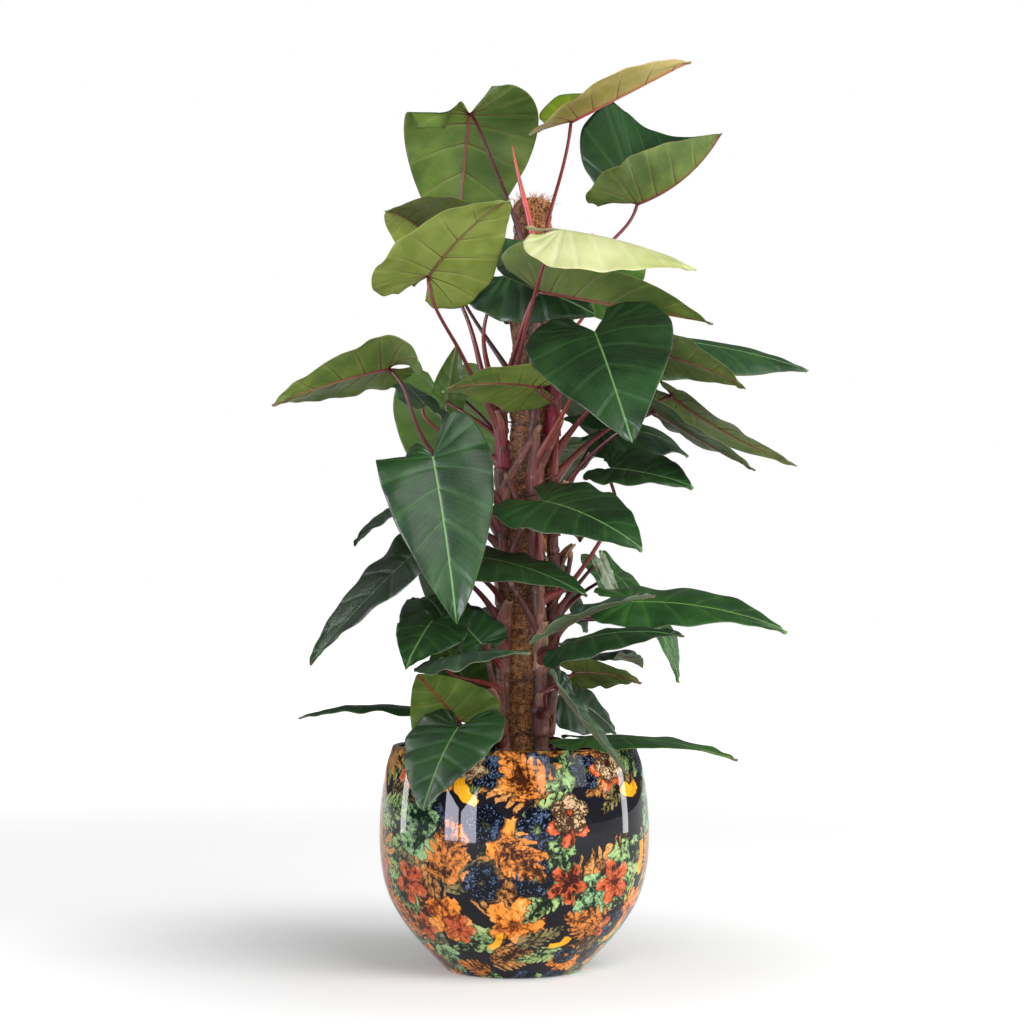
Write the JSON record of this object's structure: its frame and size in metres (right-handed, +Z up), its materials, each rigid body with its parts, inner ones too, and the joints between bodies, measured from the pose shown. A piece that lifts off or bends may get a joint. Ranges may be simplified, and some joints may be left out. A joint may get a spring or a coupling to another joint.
{
  "type": "potted philodendron",
  "caption": "Tall climbing philodendron with large heart-shaped leaves on a coir pole, in a round glazed pot with a botanical print.",
  "frame": {"origin": "middle of the pot's flat foot, on the floor", "axes": "+Z up, -Y towards the viewer of the plant's best side, +X to that viewer's right"},
  "size_m": [0.6955, 0.5559, 1.1765],
  "materials": {
    "pot": "gloss",
    "soil": "matte",
    "coir": "matte",
    "stem": "satin",
    "blade_mature": "satin",
    "blade_young": "satin",
    "blade_pale": "satin"
  },
  "bodies": {
    "root": {"pot": "pot", "soil": "soil", "coir_pole": "coir", "stem_a": "stem", "stem_b": "stem", "stem_c": "stem", "stem_d": "stem", "leaf_01": "blade_young", "leaf_02": "blade_young", "leaf_03": "blade_mature", "leaf_04": "blade_young", "leaf_05": "blade_mature", "leaf_06": "blade_pale", "leaf_07": "blade_mature", "leaf_08": "blade_mature", "leaf_09": "blade_mature", "leaf_10": "blade_mature", "leaf_11": "blade_mature", "leaf_12": "blade_mature", "leaf_13": "blade_mature", "leaf_14": "blade_mature", "leaf_15": "blade_mature", "leaf_16": "blade_mature", "leaf_17": "blade_mature", "leaf_18": "blade_mature", "leaf_19": "blade_mature", "leaf_20": "blade_mature", "leaf_21": "blade_mature", "leaf_22": "blade_pale", "leaf_23": "blade_young", "leaf_24": "blade_pale", "leaf_25": "blade_mature", "leaf_26": "blade_mature", "leaf_27": "blade_mature", "leaf_28": "blade_mature", "leaf_29": "blade_mature", "leaf_30": "blade_mature", "leaf_31": "blade_young", "leaf_32": "blade_young", "leaf_33": "blade_mature", "leaf_34": "blade_mature", "leaf_35": "blade_mature", "leaf_36": "blade_mature", "leaf_37": "blade_mature", "leaf_38": "blade_mature", "leaf_39": "blade_mature", "leaf_40": "blade_mature", "leaf_41": "blade_mature", "leaf_42": "blade_mature", "leaf_43": "blade_mature", "leaf_44": "blade_pale", "leaf_45": "blade_mature", "leaf_46": "blade_mature", "leaf_47": "blade_mature", "leaf_48": "blade_mature", "leaf_49": "blade_mature", "leaf_50": "blade_mature", "leaf_51": "blade_mature", "leaf_52": "blade_mature"}
  },
  "joints": []
}
